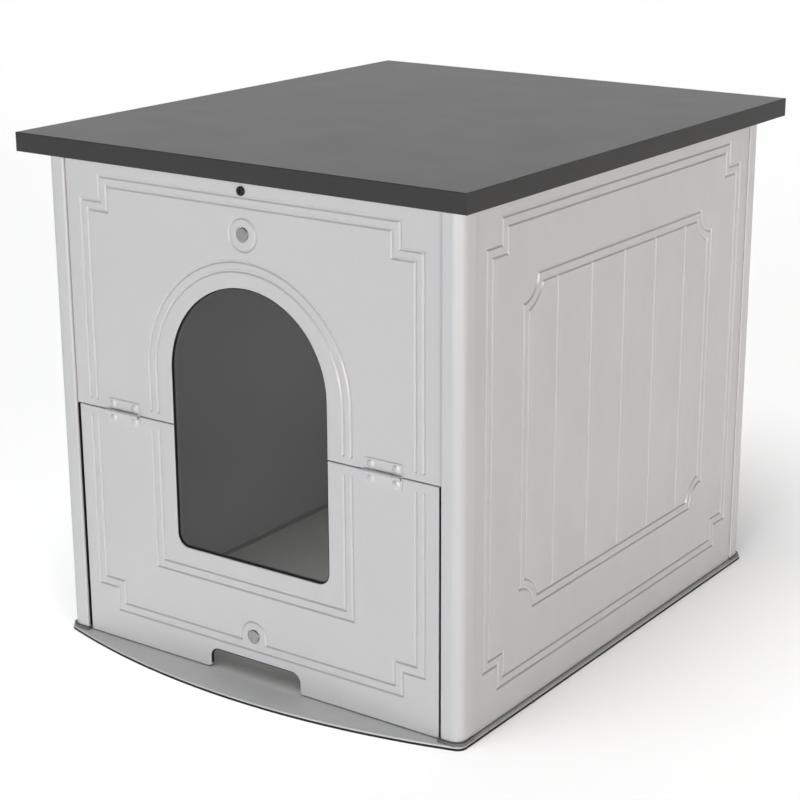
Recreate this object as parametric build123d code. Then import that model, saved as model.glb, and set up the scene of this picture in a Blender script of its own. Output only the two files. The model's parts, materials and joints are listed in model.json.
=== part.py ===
from build123d import *
import math
import os

# Cat litter enclosure built like flat-pack furniture: a dark tabletop on four hollow corner posts, moulded
# panels between them, an arched entrance, and a lower front door that folds up flat against the panel above.
# The front faces -Y, +Z is up, the floor is Z = 0, and the origin is the middle of the footprint.

# ---- Driving dimensions, in millimetres ----
HEIGHT = 516.0  # floor to tabletop surface
TOP_WIDTH = 515.0
TOP_DEPTH = 607.0
TOP_THICK = 18.4
EDGING_THICK = 1.2  # edge banding round the tabletop board
EDGING_CHAMFER = 0.5

# The cabinet is symmetric about its own centre; these are distances from that centre.
FRONT_FACE = 280.4  # faces of the front and rear panels
SIDE_FACE = 237.9  # faces of the side panels
PANEL_THICK = 3.5
PANEL_GAP = 0.25  # joint between a panel and a post or the tabletop
PANEL_BOTTOM = 4.5
EDGE_ROUND = 1.0  # rounding of panel edges

POST_FRONT = 282.9
POST_SIDE = 239.5
POST_INNER_X = 218.0
POST_INNER_Y = 261.0
POST_WALL = 2.2
POST_CORNER_R = 10.5
POST_EDGE_FRONT_R = 2.0  # edge beside the front or rear panel
POST_EDGE_SIDE_R = 1.2  # edge beside the side panel
LIP_THICK = 2.4  # rebate lips of the posts, behind the panels
LIP_REACH = 8.1
LIP_ROOT = 1.0  # how far a lip runs into the post's wall
LIP_SETBACK = 1.0  # space between the back of a front or rear panel and the lip

# Base plate with its rubber skirt
BASE_HALF_WIDTH = 242.3
BASE_BACK = 286.5
BOW_FRONT = 319.8  # front-most point of the bowed apron
BOW_RADIUS = 816.8
BASE_CORNER_R = 9.5
BASE_UNDERSIDE = 0.8
SKIRT_HEIGHT = 2.4
SKIRT_LIP = 1.6
SKIRT_FLANGE = 9.0
BASE_TOP = 3.5
BASE_CHAMFER = 1.0
RIB_THICK = 2.0
RIB_HEIGHT = 6.0
RIB_END_GAP = 1.0  # between a rib's end and the post lips

# Foot sockets and top plugs that the posts slide over
SOCKET_FLANGE = 3.5
SOCKET_CORNER_R = 10.2
SOCKET_PROUD_FRONT = 2.2
SOCKET_PROUD_SIDE = 1.9
SOCKET_SPACE = 0.2  # between a collar and the side panel
COLLAR_CHAMFER = 0.6
SOCKET_TOE = 1.5  # how far the front collars reach past the posts, towards the door
SPIGOT_HEIGHT = 34.0
PLUG_HEIGHT = 28.0
SPIGOT_CLEARANCE = 0.15
LEAD_IN = 1.2  # chamfer that guides a spigot or plug into its post

# Seam between the fixed upper panel and the folding door
SEAM_Z = 247.7
SEAM_GAP = 0.8
DOOR_HALF_WIDTH = 214.8

# Arched entrance
ARCH_R = 92.4
ARCH_Z = 301.7
ENTRANCE_BOTTOM = 124.0
ENTRANCE_CORNER_R = 13.0
SEAL_THICK = 1.0
FRAME_WIDTH = 8.0
FRAME_THICK = 2.2

# Hand notch in the door's bottom edge
NOTCH_HALF_WIDTH = 55.4
NOTCH_TOP = 25.5
NOTCH_CORNER_R = 10.0
NOTCH_FLARE_R = 4.0

# Engraved lines: a tapered groove, always as a pair
GROOVE_WIDTH = 3.5
GROOVE_FLOOR = 0.9
GROOVE_DEPTH = 1.3
PAIR_SPACING = 8.9
BORDER_STEP_X = 24.4  # the border's stepped corners
BORDER_STEP_Z = 24.3
BORDER_TOP = 478.9
BORDER_BOTTOM = 36.1
FRONT_BORDER_X = 199.0
SIDE_BORDER_X = 242.1
LINE_END_ABOVE_SEAM = 9.0
LINE_END_BELOW_SEAM = 11.0
SURROUND_R = 119.7  # line pair round the entrance
SURROUND_Z = 299.4
SURROUND_BOTTOM = 96.4
FIELD_BOTTOM = 97.7  # framed field on the side and rear panels
FIELD_TOP = 418.4
SIDE_FIELD_X = 181.3
REAR_FIELD_X = 158.0
COVE_R = 24.2
BOARD_PITCH_SIDE = 61.8
BOARD_PITCH_REAR = 53.0

# Magnets that hold the folded door
MAGNET_REACH = 197.0  # from the hinge axis to each magnet
RING_R = 15.4
POCKET_R = 7.6  # leaves an open gap round the magnet
POCKET_DEPTH = 1.3
MAGNET_R = 6.1
MAGNET_PROUD = 0.3
MAGNET_CHAMFER = 0.5
MAGNET_FIT = 0.05
CAP_R = 11.0
CAP_THICK = 1.5
CAP_CHAMFER = 0.5

# Hinges
AXIS_PROUD = 2.7  # hinge axis in front of the panel faces
HINGE_X = 155.5
HINGE_HALF_WIDTH = 20.5
LEAF_HEIGHT = 12.3
LEAF_THICK = 0.9
LEAF_CORNER_R = 1.0
KNUCKLE_R = 2.4
OUTER_KNUCKLE = 8.0
KNUCKLE_GAP = 0.4
LEAF_CUTBACK = 0.5
PIN_R = 1.40
PIN_CLEARANCE = 0.05
PIN_RECESS = 3.0
RIVET_X = 14.0
RIVET_Z = 7.2
RIVET_R = 4.25
RIVET_DOME = 1.2
RIVET_SHANK_R = 1.8
RIVET_TAIL_R = 3.0
RIVET_TAIL = 1.0

# Fixing rails under the tabletop, and screws
RAIL_THICK = 12.0
RAIL_HEIGHT = 20.0
RAIL_END_GAP = 13.0
RAIL_SCREW_SHARES = (0.12, 0.5, 0.88)  # places of the screws along a rail
MIDDLE_SCREW_SHIFT = 20.0
SCREW_HEAD_R = 3.6
SCREW_HEAD = 2.0
SCREW_HOLE = 0.1  # radial clearance round every screw
FRONT_SCREW_Z = 484.6
FRONT_SCREW_R = 4.5
FRONT_SCREW_HEAD = 2.1
FRONT_SCREW_LENGTH = 14.0
SHANK_R = 2.0
SMALL_SHANK_R = 1.3
SMALL_HEAD_R = 2.5
SMALL_HEAD = 1.6
PANEL_SCREW_DEPTH = 2.4
PANEL_SCREW_LEVELS = (90.0, 400.0)
SCREW_TIP_SPACE = 0.1  # left between a screw's tip and the end of its hole
BASE_SCREW_LENGTH = 23.8
BASE_SCREW_HEAD = 1.6
BASE_RECESS_DEPTH = 2.0
BASE_RECESS_REACH = 1.8
RECESS_WIDTH = 0.9
RECESS_SHARE = 0.55  # a cross recess against its screw head's radius
HEAD_ROUND_SHARE = 0.6  # a head's rounding against its height
POINT_SHARE = 0.5  # a screw point's chamfer against the shank's radius

# Soft seals round the door
JAMB_SEAL = 0.6
DOOR_SEAL = 0.8
SEAL_SETBACK = 0.3
SEAL_FOOT = 1.0  # door seal above the door's bottom edge
JAMB_SEAL_FOOT = 0.4  # jamb seal above the collar
JAMB_SEAL_MARGIN = 1.0  # bare strip of the lip beside the jamb seal

# The bowed apron reaches further forward than the tabletop, so the cabinet sits behind the origin.
CENTRE_Y = (BOW_FRONT - TOP_DEPTH / 2) / 2
TOP_UNDERSIDE = HEIGHT - TOP_THICK
SOCKET_TOP = BASE_TOP + SOCKET_FLANGE
PANEL_TOP = TOP_UNDERSIDE - PANEL_GAP
RAIL_SCREW_BITE = 11.0  # screw length inside the tabletop board
UPPER_SCREW_LEVELS = (300.0, 400.0)
FRONT_LIP_CENTRE = POST_INNER_X - LIP_REACH / 2
SIDE_LIP_CENTRE = POST_INNER_Y - LIP_REACH / 2
RIB_SLACK = 0.1  # between a panel's edge strip and the lip it rests on
RIB_BACK = -PANEL_THICK - LIP_SETBACK + RIB_SLACK
POST_CENTRE = ((POST_INNER_X + POST_SIDE) / 2, -(POST_FRONT + POST_INNER_Y) / 2)
OPEN = 0.2  # how far a cutter stands out of the surface it cuts

FACES = {
    "front": Plane((0, -FRONT_FACE, 0), x_dir=(1, 0, 0), z_dir=(0, -1, 0)),
    "rear": Plane((0, FRONT_FACE, 0), x_dir=(-1, 0, 0), z_dir=(0, 1, 0)),
    "right": Plane((SIDE_FACE, 0, 0), x_dir=(0, 1, 0), z_dir=(1, 0, 0)),
    "left": Plane((-SIDE_FACE, 0, 0), x_dir=(0, -1, 0), z_dir=(-1, 0, 0)),
}
CORNERS = {
    "front_right": (1, 1),
    "front_left": (-1, 1),
    "rear_right": (1, -1),
    "rear_left": (-1, -1),
}


# ---- Helpers. A panel is drawn on its face: x along the face, y up, z = 0 at the surface, outwards +z ----
def write(name, pieces, place=Plane.XY):
    """Writes one node. Identical pieces that share a node come as a list."""
    pieces = pieces if isinstance(pieces, list) else [pieces]
    solids = [Pos(0, CENTRE_Y, 0) * (place * piece.solid()) for piece in pieces]
    export_step(solids[0] if len(solids) == 1 else Compound(solids), f"parts/{name}.step")


def block(x0, x1, y0, y1, z0, z1):
    size = Box(x1 - x0, y1 - y0, z1 - z0)
    return Pos((x0 + x1) / 2, (y0 + y1) / 2, (z0 + z1) / 2) * size


def face_of(points):
    return make_face(Polyline(*points, close=True))


def slab_of(face, z0, z1):
    return Pos(0, 0, z0) * extrude(face, z1 - z0)


def joined(pieces):
    total = pieces[0]
    for piece in pieces[1:]:
        total += piece
    return total


def to_corner(shape, name):
    """Mirrors a piece made for the front right corner to another corner."""
    side, front = CORNERS[name]
    if side < 0:
        shape = mirror(shape, about=Plane.YZ)
    if front < 0:
        shape = mirror(shape, about=Plane.XZ)
    return shape


# ---- Engraved lines ----
def cutter_end(point):
    """Round end of a line, as the same tapered tool leaves it."""
    flare = OPEN * (GROOVE_WIDTH - GROOVE_FLOOR) / (2 * GROOVE_DEPTH)
    cone = Cone(GROOVE_FLOOR / 2, GROOVE_WIDTH / 2 + flare, GROOVE_DEPTH + OPEN)
    return Pos(point.X, point.Y, (OPEN - GROOVE_DEPTH) / 2) * cone


def cutter(path):
    """Tapered cutter along a path drawn on the panel's face."""
    flare = OPEN * (GROOVE_WIDTH - GROOVE_FLOOR) / (2 * GROOVE_DEPTH)
    top, floor = GROOVE_WIDTH / 2 + flare, GROOVE_FLOOR / 2
    along = path % 0
    across = Plane(origin=path @ 0, x_dir=Vector(0, 0, 1).cross(along), z_dir=along)
    corners = [(-top, OPEN), (top, OPEN), (floor, -GROOVE_DEPTH), (-floor, -GROOVE_DEPTH)]
    tool = sweep(across * face_of(corners), path=path, transition=Transition.RIGHT)
    if not path.is_closed:
        tool = tool + cutter_end(path @ 0) + cutter_end(path @ 1)
    return tool


def polyline_path(points, close=False):
    with BuildLine() as line:
        Polyline(*points, close=close)
    return line.wire()


def border_points(half_width, inset):
    """Right-hand half of the stepped border, from the bottom middle to the top middle."""
    outer, inner = half_width - inset, half_width - BORDER_STEP_X - inset
    low, high = BORDER_BOTTOM + inset, BORDER_TOP - inset
    low_step, high_step = low + BORDER_STEP_Z, high - BORDER_STEP_Z
    lower_half = [(inner, low), (inner, low_step), (outer, low_step)]
    return lower_half + [(outer, high_step), (inner, high_step), (inner, high)]


def border_loop(half_width, inset):
    right = border_points(half_width, inset)
    left = [(-x, y) for x, y in reversed(right)]
    return polyline_path([(0, BORDER_BOTTOM + inset)] + right + left, close=True)


def upper_border(inset):
    """Border of the fixed panel: down both sides to just above the seam."""
    right = border_points(FRONT_BORDER_X, inset)[3:]
    start = (right[0][0], SEAM_Z + LINE_END_ABOVE_SEAM)
    half = [start] + right
    return polyline_path(half + [(-x, y) for x, y in reversed(half)])


def lower_border(inset, over_magnet):
    """Border of the door. The inner line of the pair steps over the magnet."""
    right = border_points(FRONT_BORDER_X, inset)[:3]
    half = [(right[2][0], SEAM_Z - LINE_END_BELOW_SEAM)] + right[::-1]
    low = right[0][1]
    centre = SEAM_Z - MAGNET_REACH
    with BuildLine() as line:
        if over_magnet:
            Polyline(*half, (RING_R, low), (RING_R, centre))
            ThreePointArc((RING_R, centre), (0, centre + RING_R), (-RING_R, centre))
            Polyline((-RING_R, centre), (-RING_R, low), *[(-x, y) for x, y in reversed(half)])
        else:
            Polyline(*half, *[(-x, y) for x, y in reversed(half)])
    return line.wire()


def surround_upper(radius):
    end = SEAM_Z + LINE_END_ABOVE_SEAM
    with BuildLine() as line:
        Line((radius, end), (radius, SURROUND_Z))
        ThreePointArc((radius, SURROUND_Z), (0, SURROUND_Z + radius), (-radius, SURROUND_Z))
        Line((-radius, SURROUND_Z), (-radius, end))
    return line.wire()


def surround_lower(radius, bottom):
    end = SEAM_Z - LINE_END_BELOW_SEAM
    return polyline_path([(radius, end), (radius, bottom), (-radius, bottom), (-radius, end)])


def cove_frame(half_width, inset):
    """Frame with hollowed corners. Both lines of the pair curve about the same corner points."""
    radius = COVE_R + inset
    reach = math.sqrt(radius**2 - inset**2)
    diagonal = radius * math.sqrt(0.5)
    right_side = half_width - inset
    ends = {"low": FIELD_BOTTOM, "high": FIELD_TOP}
    signs = {"low": 1, "high": -1}

    def corner(side, level):
        x, y, up = side * half_width, ends[level], signs[level]
        on_level = (x - side * reach, y + up * inset)
        middle = (x - side * diagonal, y + up * diagonal)
        on_side = (side * right_side, y + up * reach)
        return on_level, middle, on_side

    a, b, c = corner(1, "low")
    d, e, f = corner(1, "high")
    g, h, i = corner(-1, "high")
    j, k, m = corner(-1, "low")
    start = (0, FIELD_BOTTOM + inset)
    with BuildLine() as line:
        Line(start, a)
        ThreePointArc(a, b, c)
        Line(c, f)
        ThreePointArc(f, e, d)
        Line(d, g)
        ThreePointArc(g, h, i)
        Line(i, m)
        ThreePointArc(m, k, j)
        Line(j, start)
    return line.wire()


def circle_path(radius, y):
    with BuildLine() as line:
        CenterArc((0, y), radius, 0, 360)
    return line.wire()


# ---- Panels ----
def plate(half_width, low, high, openings=()):
    """Flat panel with its openings cut and its visible edges rounded."""
    panel = block(-half_width, half_width, low, high, -PANEL_THICK, 0)
    for opening in openings:
        panel -= slab_of(opening, -PANEL_THICK - OPEN, OPEN)
    front = panel.faces().sort_by(Axis.Z)[-1]
    return fillet(front.edges(), EDGE_ROUND)


def engraved(panel, paths):
    for path in paths:
        panel -= cutter(path)
    return panel


def edge_ribs(half_width, low, high):
    """Strips at a panel's side edges that rest on the post's lips."""
    depth = LIP_SETBACK - RIB_SLACK
    inner = half_width - LIP_REACH
    rib = block(inner, half_width - EDGE_ROUND, low, high, -PANEL_THICK - depth, -PANEL_THICK)
    return rib + mirror(rib, about=Plane.YZ)


def panel_screw_spots(lip_centre, levels):
    return [(side * lip_centre, level) for side in (-1, 1) for level in levels]


def screw_pockets(spots, back):
    """Blind pilot holes in a panel's back for the screws through the post lips."""
    radius = SMALL_SHANK_R + SCREW_HOLE
    hole = Cylinder(radius, PANEL_SCREW_DEPTH + OPEN)
    middle = back + (PANEL_SCREW_DEPTH - OPEN) / 2
    return joined([Pos(x, y, middle) * hole for x, y in spots])


def decorated_panel(half_width, border_x, field_x, pitch):
    """Side or rear panel: stepped border, framed field and five board lines."""
    panel = plate(half_width, PANEL_BOTTOM, PANEL_TOP)
    borders = [border_loop(border_x, inset) for inset in (0, PAIR_SPACING)]
    frames = [cove_frame(field_x, inset) for inset in (0, PAIR_SPACING)]
    low, high = FIELD_BOTTOM + PAIR_SPACING, FIELD_TOP - PAIR_SPACING
    boards = [polyline_path([(n * pitch, low), (n * pitch, high)]) for n in range(-2, 3)]
    return engraved(panel, borders + frames + boards)


def side_panel():
    panel = decorated_panel(POST_INNER_Y - PANEL_GAP, SIDE_BORDER_X, SIDE_FIELD_X, BOARD_PITCH_SIDE)
    spots = panel_screw_spots(SIDE_LIP_CENTRE, PANEL_SCREW_LEVELS)
    return panel - screw_pockets(spots, -PANEL_THICK)


def rear_panel():
    half_width = POST_INNER_X - PANEL_GAP
    panel = decorated_panel(half_width, FRONT_BORDER_X, REAR_FIELD_X, BOARD_PITCH_REAR)
    panel += edge_ribs(half_width, PANEL_BOTTOM, PANEL_TOP)
    spots = panel_screw_spots(FRONT_LIP_CENTRE, PANEL_SCREW_LEVELS)
    return panel - screw_pockets(spots, RIB_BACK)


def entrance(grow=0.0):
    """Outline of the arched entrance, grown or shrunk evenly."""
    r, low, corner = ARCH_R + grow, ENTRANCE_BOTTOM - grow, ENTRANCE_CORNER_R + grow
    bend = corner * (1 - math.sqrt(0.5))
    with BuildLine() as line:
        ThreePointArc((-r, ARCH_Z), (0, ARCH_Z + r), (r, ARCH_Z))
        Line((r, ARCH_Z), (r, low + corner))
        ThreePointArc((r, low + corner), (r - bend, low + bend), (r - corner, low))
        Line((r - corner, low), (-r + corner, low))
        ThreePointArc((-r + corner, low), (-r + bend, low + bend), (-r, low + corner))
        Line((-r, low + corner), (-r, ARCH_Z))
    return make_face(line.edges())


def hand_notch(shrink=0.0):
    """Outline of the notch in the door's bottom edge, open downwards."""
    half, top, corner = NOTCH_HALF_WIDTH - shrink, NOTCH_TOP - shrink, NOTCH_CORNER_R - shrink
    flare = NOTCH_FLARE_R + shrink
    bend, flare_bend = corner * (1 - math.sqrt(0.5)), flare * math.sqrt(0.5)
    foot = PANEL_BOTTOM
    centre_x, centre_y = half + flare, foot + flare
    below = 0.0
    with BuildLine() as line:
        Line((-centre_x, below), (-centre_x, foot))
        ThreePointArc(
            (-centre_x, foot), (-centre_x + flare_bend, centre_y - flare_bend), (-half, centre_y)
        )
        Line((-half, centre_y), (-half, top - corner))
        ThreePointArc((-half, top - corner), (-half + bend, top - bend), (-half + corner, top))
        Line((-half + corner, top), (half - corner, top))
        ThreePointArc((half - corner, top), (half - bend, top - bend), (half, top - corner))
        Line((half, top - corner), (half, centre_y))
        ThreePointArc((half, centre_y), (centre_x - flare_bend, centre_y - flare_bend), (centre_x, foot))
        Line((centre_x, foot), (centre_x, below))
        Line((centre_x, below), (-centre_x, below))
    return make_face(line.edges())


def magnet_pocket(y):
    """Bore through the panel for the magnet, widened in front into an open gap."""
    gap = Pos(0, y, (OPEN - POCKET_DEPTH) / 2) * Cylinder(POCKET_R, POCKET_DEPTH + OPEN)
    bore = Cylinder(MAGNET_R + MAGNET_FIT, PANEL_THICK + 2 * OPEN)
    return gap + Pos(0, y, -PANEL_THICK / 2) * bore


def rivet_holes(side):
    """Holes for the rivets of both hinges, above (1) or below (-1) the seam."""
    hole = Cylinder(RIVET_SHANK_R + SCREW_HOLE, 3 * PANEL_THICK)
    return joined([Pos(x, y, 0) * hole for x, y in rivet_spots(side)])


def front_upper_panel():
    half_width, low = POST_INNER_X - PANEL_GAP, SEAM_Z + SEAM_GAP / 2
    panel = plate(half_width, low, PANEL_TOP, [entrance()])
    magnet_y = SEAM_Z + MAGNET_REACH
    lines = [upper_border(0), upper_border(PAIR_SPACING)]
    lines += [surround_upper(SURROUND_R), surround_upper(SURROUND_R - PAIR_SPACING)]
    lines += [circle_path(RING_R, magnet_y)]
    panel = engraved(panel, lines) + edge_ribs(half_width, low, PANEL_TOP)
    screw_hole = Pos(0, FRONT_SCREW_Z, 0) * Cylinder(SHANK_R + SCREW_HOLE, 3 * PANEL_THICK)
    panel -= magnet_pocket(magnet_y) + rivet_holes(1) + screw_hole
    return panel - screw_pockets(panel_screw_spots(FRONT_LIP_CENTRE, UPPER_SCREW_LEVELS), RIB_BACK)


def front_door():
    panel = plate(DOOR_HALF_WIDTH, PANEL_BOTTOM, SEAM_Z - SEAM_GAP / 2, [entrance(), hand_notch()])
    lines = [lower_border(0, over_magnet=False), lower_border(PAIR_SPACING, over_magnet=True)]
    lines += [surround_lower(SURROUND_R, SURROUND_BOTTOM)]
    lines += [surround_lower(SURROUND_R - PAIR_SPACING, SURROUND_BOTTOM + PAIR_SPACING)]
    return engraved(panel, lines) - magnet_pocket(SEAM_Z - MAGNET_REACH) - rivet_holes(-1)


# ---- Linings of the openings ----
def half_of(shape, side):
    """Part of an entrance lining on one side of the seam."""
    far = SEAM_Z + side * HEIGHT
    near = SEAM_Z + side * SEAM_GAP / 2
    low, high = min(near, far), max(near, far)
    return shape & block(-HEIGHT, HEIGHT, low, high, -HEIGHT, HEIGHT)


def entrance_seal(side):
    ring = entrance() - entrance(-SEAL_THICK)
    return half_of(slab_of(ring, -PANEL_THICK, -EDGE_ROUND), side)


def entrance_frame(side):
    ring = entrance(FRAME_WIDTH) - entrance(-SEAL_THICK)
    back = -PANEL_THICK - FRAME_THICK
    return half_of(slab_of(ring, back, -PANEL_THICK), side)


def notch_seal():
    ring = hand_notch() - hand_notch(SEAL_THICK)
    strip = slab_of(ring, -PANEL_THICK, -EDGE_ROUND)
    above = PANEL_BOTTOM + NOTCH_FLARE_R
    return strip & block(-HEIGHT, HEIGHT, above, HEIGHT, -HEIGHT, HEIGHT)


def door_edge_seals():
    strip = block(
        DOOR_HALF_WIDTH,
        DOOR_HALF_WIDTH + DOOR_SEAL,
        PANEL_BOTTOM + SEAL_FOOT,
        SEAM_Z - SEAM_GAP,
        -PANEL_THICK + SEAL_SETBACK,
        -EDGE_ROUND,
    )
    return [strip, mirror(strip, about=Plane.YZ)]


def jamb_seals():
    """Angle strips that line the posts beside and behind the door's edges."""
    lip = -PANEL_THICK - LIP_SETBACK
    inner = POST_INNER_X - LIP_REACH + JAMB_SEAL_MARGIN
    low, high = SOCKET_TOP + JAMB_SEAL_FOOT, SEAM_Z - SEAM_GAP
    beside = block(POST_INNER_X - JAMB_SEAL, POST_INNER_X, low, high, lip, -SEAL_SETBACK)
    behind = block(inner, POST_INNER_X, low, high, lip, lip + JAMB_SEAL)
    strip = beside + behind
    return [strip, mirror(strip, about=Plane.YZ)]


# ---- Hinges, on the front face ----
def rivet_spots(side):
    """Rivet centres of both hinges, above (1) or below (-1) the seam."""
    offsets = (-RIVET_X, RIVET_X)
    return [(hand * HINGE_X + dx, SEAM_Z + side * RIVET_Z) for hand in (-1, 1) for dx in offsets]


def rivet():
    """Domed rivet through a leaf and a panel, with its tail behind."""
    sphere = (RIVET_R**2 + RIVET_DOME**2) / (2 * RIVET_DOME)
    bend = RIVET_R / 2
    bend_height = math.sqrt(sphere**2 - bend**2) - (sphere - RIVET_DOME)
    base, back = LEAF_THICK, -PANEL_THICK
    with BuildLine(Plane.XZ) as line:
        ThreePointArc((RIVET_R, base), (bend, base + bend_height), (0, base + RIVET_DOME))
        Line((0, base + RIVET_DOME), (0, back - RIVET_TAIL))
        Line((0, back - RIVET_TAIL), (RIVET_TAIL_R, back - RIVET_TAIL))
        Line((RIVET_TAIL_R, back - RIVET_TAIL), (RIVET_TAIL_R, back))
        Line((RIVET_TAIL_R, back), (RIVET_SHANK_R, back))
        Line((RIVET_SHANK_R, back), (RIVET_SHANK_R, base))
        Line((RIVET_SHANK_R, base), (RIVET_R, base))
    return revolve(make_face(line.edges()), axis=Axis.Z)


def rivets(side):
    return [Pos(x, y, 0) * rivet() for x, y in rivet_spots(side)]


def along_axis(x0, x1, radius):
    """Cylinder on the hinge axis."""
    rod = Rot(0, 90, 0) * Cylinder(radius, x1 - x0)
    return Pos((x0 + x1) / 2, SEAM_Z, AXIS_PROUD) * rod


def hinge_leaf(hand, side):
    """Upper leaves (side 1) carry the two outer knuckles, lower leaves (side -1) the middle one."""
    centre = hand * HINGE_X
    inner = HINGE_HALF_WIDTH - OUTER_KNUCKLE
    if side > 0:
        spans = [(-HINGE_HALF_WIDTH, -inner), (inner, HINGE_HALF_WIDTH)]
    else:
        spans = [(-inner + KNUCKLE_GAP, inner - KNUCKLE_GAP)]
    near = SEAM_Z + side * (KNUCKLE_R + LEAF_CUTBACK)
    far = SEAM_Z + side * LEAF_HEIGHT
    left, right = centre - HINGE_HALF_WIDTH, centre + HINGE_HALF_WIDTH
    sheet = block(left, right, min(near, far), max(near, far), 0, LEAF_THICK)
    free_corners = sheet.edges().filter_by(Axis.Z).group_by(Axis.Y)[-1 if side > 0 else 0]
    leaf = fillet(free_corners, LEAF_CORNER_R)
    for x0, x1 in spans:
        start, end = centre + x0, centre + x1
        leaf += block(start, end, min(SEAM_Z, near), max(SEAM_Z, near), 0, LEAF_THICK)
        leaf += along_axis(start, end, KNUCKLE_R)
    for x, y in rivet_spots(side):
        if x * hand > 0:
            leaf -= Pos(x, y, 0) * Cylinder(RIVET_SHANK_R + SCREW_HOLE, 3 * LEAF_THICK)
    return leaf - along_axis(left - OPEN, right + OPEN, PIN_R + PIN_CLEARANCE)


def hinge_pin(hand):
    reach = HINGE_HALF_WIDTH - PIN_RECESS
    return along_axis(hand * HINGE_X - reach, hand * HINGE_X + reach, PIN_R)


# ---- Magnets ----
def magnet(y):
    """Disc with its front face just proud of the panel and its back against the cap."""
    disc = Cylinder(MAGNET_R, PANEL_THICK + MAGNET_PROUD)
    disc = chamfer(disc.edges().group_by(Axis.Z)[-1], MAGNET_CHAMFER)
    return Pos(0, y, (MAGNET_PROUD - PANEL_THICK) / 2) * disc


def magnet_cap(y):
    cap = Cylinder(CAP_R, CAP_THICK)
    return Pos(0, y, -PANEL_THICK - CAP_THICK / 2) * chamfer(cap.edges().group_by(Axis.Z)[0], CAP_CHAMFER)


# ---- Posts, sockets and plugs, made for the front right corner ----
def post_rectangle(inset):
    """Post section shrunk by inset, with the big radius on the cabinet's corner."""
    x0, x1 = POST_INNER_X + inset, POST_SIDE - inset
    y0, y1 = -POST_FRONT + inset, -POST_INNER_Y - inset
    section = face_of([(x0, y0), (x1, y0), (x1, y1), (x0, y1)])
    outer = section.vertices().sort_by(lambda v: v.X - v.Y)[-1]
    return fillet(outer, POST_CORNER_R - inset)


def corner_post(name):
    section = post_rectangle(0)
    edges = [(POST_INNER_X, -POST_FRONT, POST_EDGE_FRONT_R), (POST_SIDE, -POST_INNER_Y, POST_EDGE_SIDE_R)]
    for x, y, radius in edges:
        section = fillet(section.vertices().sort_by_distance((x, y, 0))[0], radius)
    lip_y = -FRONT_FACE + PANEL_THICK + LIP_SETBACK
    lip_x = SIDE_FACE - PANEL_THICK - PANEL_GAP
    section += rectangle(POST_INNER_X - LIP_REACH, POST_INNER_X + LIP_ROOT, lip_y, lip_y + LIP_THICK)
    section += rectangle(lip_x - LIP_THICK, lip_x, -POST_INNER_Y - LIP_ROOT, -POST_INNER_Y + LIP_REACH)
    section -= post_rectangle(POST_WALL)
    post = slab_of(section, SOCKET_TOP, TOP_UNDERSIDE)
    for x, y, z, turn in lip_screw_places(name, PANEL_SCREW_LEVELS):
        post -= Pos(x, y, z) * turn * Cylinder(SMALL_SHANK_R + SCREW_HOLE, 4 * LIP_THICK)
    return post


def rectangle(x0, x1, y0, y1):
    return face_of([(x0, y0), (x1, y0), (x1, y1), (x0, y1)])


def foot_socket(toe):
    """Collar that shows round the post's foot, with a spigot inside the post."""
    x0, x1 = POST_INNER_X - toe, POST_SIDE + SOCKET_PROUD_SIDE
    y0, y1 = -POST_FRONT - SOCKET_PROUD_FRONT, -POST_INNER_Y - SOCKET_SPACE
    outline = rectangle(x0, x1, y0, y1)
    outer = outline.vertices().sort_by(lambda v: v.X - v.Y)[-1]
    outline = fillet(outer, SOCKET_CORNER_R)
    collar = slab_of(outline, BASE_TOP, SOCKET_TOP)
    collar = chamfer(collar.edges().group_by(Axis.Z)[-1], COLLAR_CHAMFER)
    spigot = slab_of(post_rectangle(POST_WALL + SPIGOT_CLEARANCE), SOCKET_TOP, SOCKET_TOP + SPIGOT_HEIGHT)
    spigot = chamfer(spigot.edges().group_by(Axis.Z)[-1], LEAD_IN)
    pilot = Pos(*POST_CENTRE, SOCKET_TOP) * Cylinder(SHANK_R + SCREW_HOLE, 2 * SPIGOT_HEIGHT)
    return collar + spigot - pilot


def top_plug():
    """Block screwed under the tabletop that fills the top of a post."""
    section = post_rectangle(POST_WALL + SPIGOT_CLEARANCE)
    plug = slab_of(section, TOP_UNDERSIDE - PLUG_HEIGHT, TOP_UNDERSIDE)
    plug = chamfer(plug.edges().group_by(Axis.Z)[0], LEAD_IN)
    hole = Pos(*POST_CENTRE, TOP_UNDERSIDE) * Cylinder(SHANK_R + SCREW_HOLE, 3 * PLUG_HEIGHT)
    return plug - hole


# ---- Base ----
def base_outline(inset=0.0):
    half, back = BASE_HALF_WIDTH - inset, BASE_BACK - inset
    radius, centre = BOW_RADIUS - inset, BOW_RADIUS - BOW_FRONT
    shoulder = centre - math.sqrt(radius**2 - half**2)
    with BuildLine() as line:
        ThreePointArc((-half, shoulder), (0, centre - radius), (half, shoulder))
        Polyline((half, shoulder), (half, back), (-half, back), (-half, shoulder))
    outline = make_face(line.edges())
    return fillet(outline.vertices(), BASE_CORNER_R - inset)


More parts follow.
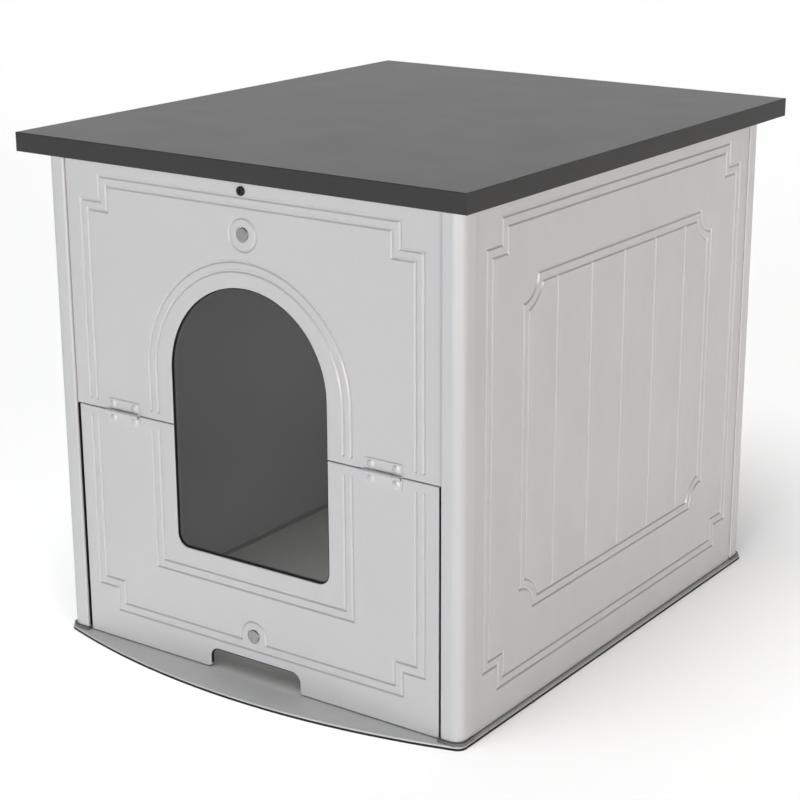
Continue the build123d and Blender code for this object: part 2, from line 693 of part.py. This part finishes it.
def base_plate():
    plate_body = slab_of(base_outline(), SKIRT_HEIGHT, BASE_TOP)
    plate_body = chamfer(plate_body.edges().group_by(Axis.Z)[-1], BASE_CHAMFER)
    plate_body += slab_of(base_outline(SKIRT_LIP), BASE_UNDERSIDE, SKIRT_HEIGHT)
    side_rib = SIDE_FACE - PANEL_THICK - PANEL_GAP
    rear_rib = FRONT_FACE - PANEL_THICK - LIP_SETBACK
    half_depth = POST_INNER_Y - LIP_REACH - RIB_END_GAP
    half_width = POST_INNER_X - LIP_REACH - RIB_END_GAP
    rib_top = BASE_TOP + RIB_HEIGHT
    rib = block(side_rib - RIB_THICK, side_rib, -half_depth, half_depth, SKIRT_HEIGHT, rib_top)
    plate_body += rib + mirror(rib, about=Plane.YZ)
    plate_body += block(-half_width, half_width, rear_rib - RIB_THICK, rear_rib, SKIRT_HEIGHT, rib_top)
    return plate_body - joined([to_corner(base_screw(SCREW_HOLE), name) for name in CORNERS])


def base_skirt():
    """Rubber skirt that grips the plate's rim and stands on the floor."""
    ring = slab_of(base_outline(), 0, SKIRT_HEIGHT) - slab_of(base_outline(SKIRT_FLANGE), -OPEN, HEIGHT)
    return ring - slab_of(base_outline(SKIRT_LIP), BASE_UNDERSIDE, HEIGHT)


# ---- Tabletop and its fixing rails ----
def tabletop_board():
    half_width, half_depth = TOP_WIDTH / 2 - EDGING_THICK, TOP_DEPTH / 2 - EDGING_THICK
    board = block(-half_width, half_width, -half_depth, half_depth, TOP_UNDERSIDE, HEIGHT)
    for x, y, _ in rail_screw_places():
        board -= Pos(x, y, TOP_UNDERSIDE) * Cylinder(SHANK_R + SCREW_HOLE, 2 * RAIL_SCREW_BITE + OPEN)
    for name in CORNERS:
        hole = Pos(*POST_CENTRE, TOP_UNDERSIDE) * Cylinder(SHANK_R + SCREW_HOLE, 2 * RAIL_SCREW_BITE + OPEN)
        board -= to_corner(hole, name)
    return board


def tabletop_edging():
    """Banding glued to the board's four edges: long strips front and back, short ones between."""
    half_width, half_depth = TOP_WIDTH / 2, TOP_DEPTH / 2
    front = block(-half_width, half_width, -half_depth, -half_depth + EDGING_THICK, TOP_UNDERSIDE, HEIGHT)
    front = chamfer(front.edges().filter_by(Axis.X).group_by(Axis.Y)[0].sort_by(Axis.Z)[-1:], EDGING_CHAMFER)
    inner = half_depth - EDGING_THICK
    side = block(half_width - EDGING_THICK, half_width, -inner, inner, TOP_UNDERSIDE, HEIGHT)
    side = chamfer(side.edges().filter_by(Axis.Y).group_by(Axis.X)[-1].sort_by(Axis.Z)[-1:], EDGING_CHAMFER)
    return [front, mirror(front, about=Plane.XZ), side, mirror(side, about=Plane.YZ)]


def rail_boxes():
    """Low and high x and y of each fixing rail, by name."""
    outer_y = FRONT_FACE - PANEL_THICK - PANEL_GAP
    outer_x = SIDE_FACE - PANEL_THICK - PANEL_GAP
    inner_y, inner_x = outer_y - RAIL_THICK, outer_x - RAIL_THICK
    half_width, half_depth = POST_INNER_X - RAIL_END_GAP, POST_INNER_Y - RAIL_END_GAP
    return {
        "front": (-half_width, half_width, -outer_y, -inner_y),
        "rear": (-half_width, half_width, inner_y, outer_y),
        "right": (inner_x, outer_x, -half_depth, half_depth),
        "left": (-outer_x, -inner_x, -half_depth, half_depth),
    }


def rail_screw_places():
    """Three screws up through each rail: x, y and the rail's name."""
    places = []
    for name, (x0, x1, y0, y1) in rail_boxes().items():
        for share in RAIL_SCREW_SHARES:
            if name in ("front", "rear"):
                # The middle screw stands beside the one that holds the front panel.
                shift = MIDDLE_SCREW_SHIFT if share == RAIL_SCREW_SHARES[1] else 0.0
                places.append((x0 + share * (x1 - x0) + shift, (y0 + y1) / 2, name))
            else:
                places.append(((x0 + x1) / 2, y0 + share * (y1 - y0), name))
    return places


def top_rail(name):
    x0, x1, y0, y1 = rail_boxes()[name]
    rail = block(x0, x1, y0, y1, TOP_UNDERSIDE - RAIL_HEIGHT, TOP_UNDERSIDE)
    for x, y, owner in rail_screw_places():
        if owner == name:
            rail -= Pos(x, y, TOP_UNDERSIDE) * Cylinder(SHANK_R + SCREW_HOLE, 3 * RAIL_HEIGHT)
    if name == "front":
        hole = Pos(0, FRONT_SCREW_Z, 0) * Cylinder(SHANK_R + SCREW_HOLE, 2 * FRONT_SCREW_LENGTH)
        rail -= FACES["front"] * hole
    return rail


# ---- Screws. Each is drawn head down on z = 0, with its shank along +z ----
def cross_recess(depth, reach):
    bar = Box(2 * reach, RECESS_WIDTH, depth)
    return bar + Rot(0, 0, 90) * bar


def pan_screw(head_r, head, shank_r, length):
    """Screw with a low domed head below z = 0 and a cross recess in it."""
    head_body = Pos(0, 0, -head / 2) * Cylinder(head_r, head)
    head_body = fillet(head_body.edges().group_by(Axis.Z)[0], head * HEAD_ROUND_SHARE)
    shank = Pos(0, 0, length / 2) * Cylinder(shank_r, length)
    shank = chamfer(shank.edges().group_by(Axis.Z)[-1], shank_r * POINT_SHARE)
    recess = Pos(0, 0, -head) * cross_recess(head, head_r * RECESS_SHARE)
    return head_body + shank - recess


def front_screw():
    """Black screw that holds the upper panel to the front rail."""
    screw = pan_screw(FRONT_SCREW_R, FRONT_SCREW_HEAD, SHANK_R, FRONT_SCREW_LENGTH)
    return FACES["front"] * (Pos(0, FRONT_SCREW_Z, 0) * Rot(180, 0, 0) * screw)


def rail_screws():
    screw = pan_screw(SCREW_HEAD_R, SCREW_HEAD, SHANK_R, RAIL_HEIGHT + RAIL_SCREW_BITE)
    low = TOP_UNDERSIDE - RAIL_HEIGHT
    return [Pos(x, y, low) * screw for x, y, _ in rail_screw_places()]


def plug_screws():
    screw = pan_screw(SCREW_HEAD_R, SCREW_HEAD, SHANK_R, PLUG_HEIGHT + RAIL_SCREW_BITE)
    placed = Pos(*POST_CENTRE, TOP_UNDERSIDE - PLUG_HEIGHT) * screw
    return [to_corner(placed, name) for name in CORNERS]


def base_screw(grow=0.0):
    """Countersunk screw up through the base plate into a foot socket."""
    cone = Pos(0, 0, BASE_SCREW_HEAD / 2) * Cone(SCREW_HEAD_R + grow, SHANK_R + grow, BASE_SCREW_HEAD)
    screw = cone + Pos(0, 0, BASE_SCREW_LENGTH / 2) * Cylinder(SHANK_R + grow, BASE_SCREW_LENGTH)
    if grow == 0:
        screw -= cross_recess(BASE_RECESS_DEPTH, BASE_RECESS_REACH)
    return Pos(*POST_CENTRE, BASE_UNDERSIDE) * screw


def base_screws():
    return [to_corner(base_screw(), name) for name in CORNERS]


def lip_screw_places(corner, post_levels):
    """Screws from inside through a post's two lips: place on the lip's inner face, and its turn."""
    inner_y = -FRONT_FACE + PANEL_THICK + LIP_SETBACK + LIP_THICK
    inner_x = SIDE_FACE - PANEL_THICK - PANEL_GAP - LIP_THICK
    levels = UPPER_SCREW_LEVELS if corner.startswith("front") else post_levels
    places = [(FRONT_LIP_CENTRE, inner_y, z, Rot(90, 0, 0)) for z in levels]
    places += [(inner_x, -SIDE_LIP_CENTRE, z, Rot(0, 90, 0)) for z in post_levels]
    return places


def panel_screws():
    """All the small screws that hold the four fixed panels to the post lips."""
    front_length = LIP_THICK + RIB_SLACK + PANEL_SCREW_DEPTH - SCREW_TIP_SPACE
    side_length = LIP_THICK + PANEL_GAP + PANEL_SCREW_DEPTH - SCREW_TIP_SPACE
    pieces = []
    for name in CORNERS:
        for x, y, z, turn in lip_screw_places(name, PANEL_SCREW_LEVELS):
            length = front_length if x == FRONT_LIP_CENTRE else side_length
            screw = Pos(x, y, z) * turn * pan_screw(SMALL_HEAD_R, SMALL_HEAD, SMALL_SHANK_R, length)
            pieces.append(to_corner(screw, name))
    return pieces


def main():
    os.makedirs("parts", exist_ok=True)
    front = FACES["front"]
    upper_magnet, lower_magnet = SEAM_Z + MAGNET_REACH, SEAM_Z - MAGNET_REACH

    write("base_plate", base_plate())
    write("base_skirt", base_skirt())
    write("tabletop_board", tabletop_board())
    write("tabletop_edging", tabletop_edging())
    for name in CORNERS:
        toe = SOCKET_TOE if name.startswith("front") else 0
        write(f"corner_post_{name}", to_corner(corner_post(name), name))
        write(f"foot_socket_{name}", to_corner(foot_socket(toe), name))
        write(f"top_plug_{name}", to_corner(top_plug(), name))
    for name in rail_boxes():
        write(f"top_rail_{name}", top_rail(name))

    write("front_upper_panel", front_upper_panel(), front)
    write("front_door", front_door(), front)
    write("rear_panel", rear_panel(), FACES["rear"])
    side = side_panel()
    for name in ("left", "right"):
        write(f"side_panel_{name}", side, FACES[name])

    for label, half in (("upper", 1), ("lower", -1)):
        write(f"entrance_seal_{label}", entrance_seal(half), front)
        write(f"entrance_frame_{label}", entrance_frame(half), front)
        write(f"hinge_rivets_{label}", rivets(half), front)
        for hand_label, hand in (("left", -1), ("right", 1)):
            write(f"hinge_leaf_{label}_{hand_label}", hinge_leaf(hand, half), front)
    for hand_label, hand in (("left", -1), ("right", 1)):
        write(f"hinge_pin_{hand_label}", hinge_pin(hand), front)
    write("notch_seal", notch_seal(), front)
    write("door_edge_seals", door_edge_seals(), front)
    write("jamb_seals", jamb_seals(), front)

    for label, y in (("panel", upper_magnet), ("door", lower_magnet)):
        write(f"{label}_magnet", magnet(y), front)
        write(f"{label}_magnet_cap", magnet_cap(y), front)

    write("front_screw", front_screw())
    write("rail_screws", rail_screws())
    write("plug_screws", plug_screws())
    write("base_screws", base_screws())
    write("panel_screws", panel_screws())


main()
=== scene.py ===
import json

import bmesh
import bpy
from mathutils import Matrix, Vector


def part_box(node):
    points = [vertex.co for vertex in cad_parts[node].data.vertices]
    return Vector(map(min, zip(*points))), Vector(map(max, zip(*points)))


# A cat litter enclosure in pale moulded plastic with a dark laminate tabletop, on a white studio floor.
# Every shape comes from the CAD frame, in metres; this script gives them their surfaces and their light.

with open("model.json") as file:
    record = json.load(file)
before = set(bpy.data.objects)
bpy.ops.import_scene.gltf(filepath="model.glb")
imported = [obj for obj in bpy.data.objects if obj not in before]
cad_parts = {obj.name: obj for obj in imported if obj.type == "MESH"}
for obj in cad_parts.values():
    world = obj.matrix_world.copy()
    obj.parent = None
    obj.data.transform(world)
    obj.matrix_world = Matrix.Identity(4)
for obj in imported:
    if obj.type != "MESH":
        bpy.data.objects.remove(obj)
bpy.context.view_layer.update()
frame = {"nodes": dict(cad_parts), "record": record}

# ---- Camera, fitted to the view of the photograph ----
CAMERA_PLACE = (1.1262, -1.6106, 0.8366)
CAMERA_AIM = (-0.5416, 0.7850, -0.3009)
CAMERA_LENS_MM = 88.89
CAMERA_SHIFT = (-0.0345, 0.0018)

# ---- Colours, in linear light ----
PLASTIC = (0.432, 0.436, 0.445)
PLASTIC_SHADE = (0.422, 0.426, 0.435)
TRIM = (0.436, 0.441, 0.451)
TRIM_SHADE = (0.427, 0.432, 0.442)
LAMINATE = (0.037, 0.037, 0.037)
LAMINATE_SHADE = (0.030, 0.030, 0.030)
BANDING = (0.0250, 0.0248, 0.0246)
BANDING_SHADE = (0.0210, 0.0208, 0.0206)
BASE = (0.300, 0.303, 0.306)
BASE_SHADE = (0.285, 0.288, 0.291)
COLLAR = (0.085, 0.086, 0.087)
COLLAR_SHADE = (0.070, 0.071, 0.072)
LINING = (0.105, 0.105, 0.106)
LINING_SHADE = (0.090, 0.090, 0.091)
RUBBER = (0.007, 0.007, 0.0075)
RUBBER_SHADE = (0.013, 0.013, 0.0135)
NICKEL = (0.330, 0.328, 0.324)
NICKEL_SHADE = (0.270, 0.268, 0.264)
DARK_STEEL = (0.090, 0.090, 0.095)
DARK_STEEL_SHADE = (0.060, 0.060, 0.062)
ZINC = (0.520, 0.525, 0.530)
ZINC_SHADE = (0.400, 0.405, 0.410)
OXIDE = (0.012, 0.012, 0.013)
OXIDE_SHADE = (0.020, 0.020, 0.021)
PINE = (0.560, 0.390, 0.220)
PINE_SHADE = (0.430, 0.270, 0.130)
# Paler edge colours: partly rubbed wear, partly a painted edge highlight.
PALE_WEAR_AND_HIGHLIGHT = (0.70, 0.70, 0.70)
BASE_WEAR_AND_HIGHLIGHT = (0.40, 0.40, 0.40)
COLLAR_WEAR_AND_HIGHLIGHT = (0.16, 0.16, 0.16)
TABLETOP_WEAR_AND_HIGHLIGHT = (0.11, 0.11, 0.11)
BANDING_WEAR_AND_HIGHLIGHT = (0.10, 0.10, 0.10)

# ---- Wear with painted edge highlight, and painted shade ----
WEAR_AND_HIGHLIGHT_REACH = 0.0007  # metres that rubbing and the painted edge highlight reach in from an edge
WEAR_AND_HIGHLIGHT_ONSET = (0.02, 0.25)  # 1 - cos of how far an edge turns, where wear and painted highlight start and where they are full
WEAR_AND_HIGHLIGHT_PATCH = 0.012  # metres across the patches that wear and painted highlight come in
PAINTED_SHADE_REACH = 0.003  # metres: grooves and corners narrower than this get painted shade
PAINTED_SHADE_ONSET = (0.14, 0.50)  # how sheltered a place is where the painted shade starts and where it is full
# How much painted shade is mixed in at the most sheltered places:
PAINTED_SHADE_SHARE = 0.12
PAINTED_SHADE_TONE = 0.42  # brightness of the painted shade, as a share of the colour under it
SPECK_SHARE = 0.35
SPECK_TONE = 0.965  # brightness of the moulding's specks, as a share of the shade round them

# ---- Light ----
# Far soft lights: where each shines from, its strength and colour, and how wide it looks in radians.
SUNS = {
    "key": ((0.870, -0.493, 0.100), 1.70, (1.0, 0.865, 0.80), 0.22),
    "front_fill": ((0.12, -0.99, 0.06), 2.30, (0.925, 0.977, 1.0), 0.40),
    "floor_wash": ((0.0, -0.40, 1.0), 2.72, (1, 1, 1), 0.9),
}
KEY_MISSES = "side_panel_left"  # flagged off, so that no hard patch of light falls through the entrance
GROUND_NODES = ("base_plate", "base_skirt")  # with the floor, all that floor_wash falls on
VIEWER_SIDE = (0.57, -0.82, 0)  # level direction from the object to the camera
# Brightness of the white room along the horizon, behind the object, on the viewer's side, and overhead.
ROOM_HORIZON = 0.25
ROOM_BACK = 1.32
ROOM_FRONT = 0.02
ROOM_TOP = 0.03
CABIN_FILL = 0.375  # watts
CABIN_SPREAD = 1.7  # radians
CABIN_COLOUR = (1.0, 0.975, 0.94)
CABIN_LAMP = (0.34, 0.42)  # metres wide and deep
CABIN_DROP = 0.03  # metres below the tabletop

# ---- Node helpers ----
class Surface:
    """A Principled material that is built up one layer at a time, in the object's own coordinates."""

    def __init__(self, name, metallic=0.0, specular=0.5):
        self.material = bpy.data.materials.new(name)
        self.material.use_nodes = True
        self.tree = self.material.node_tree
        self.shader = self.tree.nodes["Principled BSDF"]
        self.shader.inputs["Metallic"].default_value = metallic
        self.shader.inputs["Specular IOR Level"].default_value = specular
        self.place = self.tree.nodes.new("ShaderNodeTexCoord").outputs["Object"]
        self.height = None

    def node(self, kind, **settings):
        made = self.tree.nodes.new(kind)
        for key, value in settings.items():
            setattr(made, key, value)
        return made

    def link(self, out, into):
        self.tree.links.new(out, into)

    def stretched(self, scale):
        """The object's coordinates, scaled along each axis."""
        mapping = self.node("ShaderNodeMapping")
        mapping.inputs["Scale"].default_value = scale
        self.link(self.place, mapping.inputs["Vector"])
        return mapping.outputs["Vector"]

    def noise(self, size, detail=3.0, rough=0.5, stretch=(1, 1, 1)):
        """Noise with features of about this size in metres."""
        noise = self.node("ShaderNodeTexNoise")
        noise.inputs["Scale"].default_value = 1.0 / size
        noise.inputs["Detail"].default_value = detail
        noise.inputs["Roughness"].default_value = rough
        self.link(self.stretched(stretch), noise.inputs["Vector"])
        return noise.outputs["Fac"]

    def ramp(self, value, low, high, start=0.0, end=1.0):
        """Maps value from start..end to low..high, smoothly and held inside them."""
        fit = self.node("ShaderNodeMapRange", interpolation_type="SMOOTHSTEP")
        for key, number in (("From Min", start), ("From Max", end), ("To Min", low), ("To Max", high)):
            fit.inputs[key].default_value = number
        self.link(value, fit.inputs["Value"])
        return fit.outputs["Result"]

    def math(self, operation, a, b):
        node = self.node("ShaderNodeMath", operation=operation)
        for slot, value in zip(node.inputs, (a, b)):
            if isinstance(value, (int, float)):
                slot.default_value = value
            else:
                self.link(value, slot)
        return node.outputs["Value"]

    def mix(self, share, a, b):
        """Colour between a and b. Each is a colour or another node's output."""
        node = self.node("ShaderNodeMix", data_type="RGBA")
        self.link(share, node.inputs["Factor"])
        for slot, value in zip((node.inputs[6], node.inputs[7]), (a, b)):
            if isinstance(value, tuple):
                slot.default_value = (*value, 1.0)
            else:
                self.link(value, slot)
        return node.outputs[2]

    def add_height(self, value, metres):
        """Adds relief: a value of 1 stands this many metres proud."""
        relief = self.math("MULTIPLY", value, metres)
        self.height = relief if self.height is None else self.math("ADD", self.height, relief)

    def edge_wear_and_highlight(self):
        """0 on flat stretches, rising to 1 on edges, which are paled there as rubbed wear and partly as a
        painted edge highlight.
        """
        rounded = self.node("ShaderNodeBevel", samples=6)
        rounded.inputs["Radius"].default_value = WEAR_AND_HIGHLIGHT_REACH
        geometry = self.node("ShaderNodeNewGeometry")
        dot = self.node("ShaderNodeVectorMath", operation="DOT_PRODUCT")
        self.link(rounded.outputs["Normal"], dot.inputs[0])
        self.link(geometry.outputs["Normal"], dot.inputs[1])
        away = self.math("SUBTRACT", 1.0, dot.outputs["Value"])
        patches = self.ramp(self.noise(WEAR_AND_HIGHLIGHT_PATCH, 4.0, 0.6), 0.35, 1.0, 0.35, 0.65)
        return self.math("MULTIPLY", self.ramp(away, 0.0, 1.0, *WEAR_AND_HIGHLIGHT_ONSET), patches)

    def recess(self):
        """Mask for painted shade: 0 on open surfaces, rising to 1 deep in grooves and corners narrower than
        the set reach.
        """
        shelter = self.node("ShaderNodeAmbientOcclusion", samples=4)
        shelter.inputs["Distance"].default_value = PAINTED_SHADE_REACH
        sheltered = self.math("SUBTRACT", 1.0, shelter.outputs["AO"])
        return self.ramp(sheltered, 0.0, 1.0, *PAINTED_SHADE_ONSET)

    def finish(self, colour, roughness):
        self.link(colour, self.shader.inputs["Base Color"])
        self.link(roughness, self.shader.inputs["Roughness"])
        if self.height is not None:
            bump = self.node("ShaderNodeBump")
            bump.inputs["Strength"].default_value = 1.0
            bump.inputs["Distance"].default_value = 1.0
            self.link(self.height, bump.inputs["Height"])
            self.link(bump.outputs["Normal"], self.shader.inputs["Normal"])
        return self.material


# ---- Materials ----
def scaled(colour, factor):
    return tuple(channel * factor for channel in colour)


def moulded_plastic(name, colour, shade, grain=0.0008, relief=0.000022, rough=0.42, wear_and_highlight=None, specular=0.95,
                    gloss=0.3, gloss_rough=0.36):
    """Injection-moulded plastic: spark-eroded grain, flow clouding, painted shade in recesses, and paler
    edges that are partly rubbed wear and partly a painted highlight.
    """
    s = Surface(name, specular=specular)
    s.shader.inputs["Coat Weight"].default_value = gloss
    s.shader.inputs["Coat Roughness"].default_value = gloss_rough
    clouds = s.ramp(s.noise(0.16, 4.0, 0.55), 0.0, 1.0, 0.3, 0.7)
    tone = s.mix(clouds, colour, shade)
    speck = s.ramp(s.noise(0.0022, 2.0), 0.0, 1.0, 0.35, 0.65)
    tone = s.mix(s.math("MULTIPLY", speck, SPECK_SHARE), tone, scaled(shade, SPECK_TONE))
    # Painted shade: narrow grooves and corners are darkened.
    tone = s.mix(s.math("MULTIPLY", s.recess(), PAINTED_SHADE_SHARE), tone, scaled(shade, PAINTED_SHADE_TONE))
    if wear_and_highlight:
        # Paler edges: partly rubbed wear, partly a painted edge highlight.
        tone = s.mix(s.math("MULTIPLY", s.edge_wear_and_highlight(), 0.5), tone, wear_and_highlight)
    s.add_height(s.noise(grain, 2.0, 0.6), relief)
    s.add_height(s.noise(0.05, 2.0, 0.4), 0.00012)
    smears = s.noise(0.035, 5.0, 0.6, (1.0, 1.0, 0.45))
    return s.finish(tone, s.ramp(smears, rough - 0.07, rough + 0.09, 0.3, 0.7))


def laminate(name, colour, shade, rough, wear_and_highlight, specular=0.45):
    """Dark satin laminate: pressed pore texture, faint cloth marks, and paler edges that are partly rubbed
    wear and partly a painted highlight.
    """
    s = Surface(name, specular=specular)
    pores = s.ramp(s.noise(0.0011, 3.0, 0.65), 0.0, 1.0, 0.38, 0.62)
    tone = s.mix(pores, colour, shade)
    clouds = s.ramp(s.noise(0.22, 3.0, 0.5), 0.0, 0.5, 0.3, 0.7)
    tone = s.mix(clouds, tone, scaled(colour, 1.02))
    # Paler edges: partly rubbed wear, partly a painted edge highlight.
    tone = s.mix(s.math("MULTIPLY", s.edge_wear_and_highlight(), 0.55), tone, wear_and_highlight)
    s.add_height(pores, 0.000012)
    wipes = s.noise(0.05, 3.0, 0.5)
    return s.finish(tone, s.ramp(wipes, rough - 0.006, rough + 0.010, 0.3, 0.7))


def rubber(name):
    s = Surface(name, specular=0.2)
    bloom = s.ramp(s.noise(0.006, 4.0, 0.6), 0.0, 1.0, 0.4, 0.75)
    s.add_height(s.noise(0.0006, 2.0), 0.00003)
    return s.finish(s.mix(bloom, RUBBER, RUBBER_SHADE), s.ramp(bloom, 0.62, 0.85))


def metal(name, colour, shade, rough, stretch=(1, 1, 1), metallic=1.0, relief=0.000006):
    """Turned or plated metal with drawn tool marks and small stains."""
    s = Surface(name, metallic=metallic)
    marks = s.noise(0.0007, 3.0, 0.6, stretch)
    stains = s.ramp(s.noise(0.004, 4.0, 0.6), 0.0, 1.0, 0.45, 0.75)
    s.add_height(marks, relief)
    return s.finish(s.mix(stains, colour, shade), s.ramp(marks, rough - 0.08, rough + 0.12, 0.3, 0.7))


def planed_pine(name):
    """Softwood rails: growth rings cut lengthwise, and fine fibres."""
    s = Surface(name, specular=0.35)
    rings = s.node("ShaderNodeTexWave", wave_type="BANDS", bands_direction="Z")
    rings.inputs["Scale"].default_value = 90.0
    rings.inputs["Distortion"].default_value = 5.0
    rings.inputs["Detail"].default_value = 3.0
    s.link(s.stretched((0.12, 0.12, 1.0)), rings.inputs["Vector"])
    fibres = s.noise(0.0012, 4.0, 0.6, (0.08, 0.08, 1.0))
    tone = s.mix(rings.outputs["Fac"], PINE, PINE_SHADE)
    s.add_height(fibres, 0.00004)
    return s.finish(tone, s.ramp(fibres, 0.5, 0.72, 0.3, 0.7))


def studio_white(name):
    s = Surface(name, specular=0.1)
    paper = s.ramp(s.noise(0.5, 2.0), 0.0, 1.0, 0.3, 0.7)
    return s.finish(s.mix(paper, (0.955, 0.955, 0.955), (0.945, 0.945, 0.945)), s.ramp(paper, 0.85, 0.95))


def slot_materials():
    """One material for each of the record's material slots."""
    return {
        "panel": moulded_plastic("panel_plastic", PLASTIC, PLASTIC_SHADE, wear_and_highlight=PALE_WEAR_AND_HIGHLIGHT),
        "trim_light": moulded_plastic("trim_plastic", TRIM, TRIM_SHADE, rough=0.37, wear_and_highlight=PALE_WEAR_AND_HIGHLIGHT, gloss=0.5,
                                      gloss_rough=0.33),
        "base": moulded_plastic("base_plastic", BASE, BASE_SHADE, 0.0012, 0.00003, 0.5, BASE_WEAR_AND_HIGHLIGHT),
        "collar": moulded_plastic("collar_plastic", COLLAR, COLLAR_SHADE, rough=0.5, wear_and_highlight=COLLAR_WEAR_AND_HIGHLIGHT),
        "inner_grey": moulded_plastic("lining_plastic", LINING, LINING_SHADE, rough=0.55),
        "tabletop": laminate("tabletop_laminate", LAMINATE, LAMINATE_SHADE, 0.42, TABLETOP_WEAR_AND_HIGHLIGHT),
        "edging": laminate("edge_banding", BANDING, BANDING_SHADE, 0.5, BANDING_WEAR_AND_HIGHLIGHT, 0.35),
        "skirt": rubber("skirt_rubber"),
        "seal": rubber("seal_rubber"),
        "magnet": metal("nickel_plate", NICKEL, NICKEL_SHADE, 0.3),
        "pin_steel": metal("pin_steel", DARK_STEEL, DARK_STEEL_SHADE, 0.4, (0.1, 1, 1)),
        "black_screw": metal("black_oxide", OXIDE, OXIDE_SHADE, 0.45, metallic=0.6),
        "screw_steel": metal("zinc_plate", ZINC, ZINC_SHADE, 0.35),
        "rail_wood": planed_pine("planed_pine"),
    }


def dress(nodes, record):
    """Gives every CAD node the material of its slot."""
    materials = slot_materials()
    for part in record["subparts"]:
        mesh = nodes[part["node"]].data
        mesh.materials.clear()
        mesh.materials.append(materials[part["material_slot"]])


# ---- Studio ----
def floor(size=80.0):
    """White floor at the height that the skirt stands on."""
    mesh = bpy.data.meshes.new("studio_floor")
    half = size / 2
    corners = [(-half, -half, 0), (half, -half, 0), (half, half, 0), (-half, half, 0)]
    mesh.from_pydata(corners, [], [(0, 1, 2, 3)])
    mesh.materials.append(studio_white("studio_white"))
    made = bpy.data.objects.new("studio_floor", mesh)
    bpy.context.scene.collection.objects.link(made)
    return made


def backdrop(radius=20.0):
    """White surround that only the camera sees, so that it closes every view without lighting the object."""
    mesh = bpy.data.meshes.new("studio_backdrop")
    shape = bmesh.new()
    bmesh.ops.create_uvsphere(shape, u_segments=48, v_segments=24, radius=radius)
    shape.to_mesh(mesh)
    shape.free()
    s = Surface("backdrop_white", specular=0.0)
    paper = s.ramp(s.noise(9.0, 2.0), 0.0, 1.0, 0.3, 0.7)
    s.shader.inputs["Emission Strength"].default_value = 1.0
    s.link(s.mix(paper, (1.0, 1.0, 1.0), (0.985, 0.985, 0.985)), s.shader.inputs["Emission Color"])
    mesh.materials.append(s.finish(s.mix(paper, (0.01, 0.01, 0.01), (0.02, 0.02, 0.02)), paper))
    made = bpy.data.objects.new("studio_backdrop", mesh)
    made.visible_diffuse = made.visible_glossy = made.visible_shadow = made.visible_transmission = False
    bpy.context.scene.collection.objects.link(made)


def studio_world():
    """A white room: bright behind the object, dimmer on the viewer's side and overhead."""
    world = bpy.data.worlds.new("studio")
    world.use_nodes = True
    tree = world.node_tree
    direction = tree.nodes.new("ShaderNodeTexCoord").outputs["Generated"]

    def fade(along, start, end, first, last):
        """first where the direction's part along this vector is start, last where it is end."""
        dot = tree.nodes.new("ShaderNodeVectorMath")
        dot.operation = "DOT_PRODUCT"
        dot.inputs[1].default_value = along
        ramp = tree.nodes.new("ShaderNodeMapRange")
        ramp.interpolation_type = "SMOOTHSTEP"
        tree.links.new(direction, dot.inputs[0])
        tree.links.new(dot.outputs["Value"], ramp.inputs["Value"])
        for key, number in (("From Min", start), ("From Max", end)):
            ramp.inputs[key].default_value = number
        for key, number in (("To Min", first), ("To Max", last)):
            if isinstance(number, (int, float)):
                ramp.inputs[key].default_value = number
            else:
                tree.links.new(number, ramp.inputs[key])
        return ramp.outputs["Result"]

    around = fade(VIEWER_SIDE, -0.85, -0.3, ROOM_BACK, ROOM_FRONT)
    upward = fade((0, 0, 1), 0.3, 0.9, around, ROOM_TOP)
    level = fade((0, 0, 1), 0.06, 0.16, ROOM_HORIZON, upward)
    tree.links.new(level, tree.nodes["Background"].inputs["Strength"])
    tree.nodes["Background"].inputs["Color"].default_value = (1, 1, 1, 1)
    bpy.context.scene.world = world


def soft_sun(name, toward, strength, colour, spread):
    """One very large, far light: it shines from this direction."""
    light = bpy.data.lights.new(name, "SUN")
    light.energy = strength
    light.color = colour
    light.angle = spread
    made = bpy.data.objects.new(name, light)
    made.rotation_euler = Vector(toward).to_track_quat("Z", "Y").to_euler()
    bpy.context.scene.collection.objects.link(made)
    return made


def cabin_fill():
    """Weak lamp under the tabletop that lets the dim inside be seen."""
    low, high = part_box("tabletop_board")
    light = bpy.data.lights.new("cabin_fill", "AREA")
    light.shape = "RECTANGLE"
    light.size, light.size_y = CABIN_LAMP
    light.energy = CABIN_FILL
    light.spread = CABIN_SPREAD
    light.color = CABIN_COLOUR
    made = bpy.data.objects.new("cabin_fill", light)
    made.location = ((low.x + high.x) / 2, (low.y + high.y) / 2, low.z - CABIN_DROP)
    bpy.context.scene.collection.objects.link(made)


def light_studio(nodes, ground):
    """The room, the far lights with what two of them may fall on, and the lamp in the cabin."""
    studio_world()
    suns = {name: soft_sun(name, *setting) for name, setting in SUNS.items()}
    ground_only = bpy.data.collections.new("ground_only")
    for made in ground:
        ground_only.objects.link(made)
    suns["floor_wash"].light_linking.receiver_collection = ground_only
    key_misses = bpy.data.collections.new("key_misses")
    key_misses.objects.link(nodes[KEY_MISSES])
    key_misses.collection_objects[0].light_linking.link_state = "EXCLUDE"
    suns["key"].light_linking.receiver_collection = key_misses
    cabin_fill()


def set_camera():
    camera = bpy.data.cameras.new("camera")
    camera.sensor_width = 36.0
    camera.lens = CAMERA_LENS_MM
    camera.shift_x, camera.shift_y = CAMERA_SHIFT
    made = bpy.data.objects.new("camera", camera)
    made.location = CAMERA_PLACE
    made.rotation_euler = Vector(CAMERA_AIM).to_track_quat("-Z", "Y").to_euler()
    bpy.context.scene.collection.objects.link(made)
    bpy.context.scene.camera = made


dress(frame["nodes"], frame["record"])
backdrop()
light_studio(frame["nodes"], [floor()] + [frame["nodes"][name] for name in GROUND_NODES])
set_camera()
bpy.context.scene.view_settings.view_transform = "Standard"
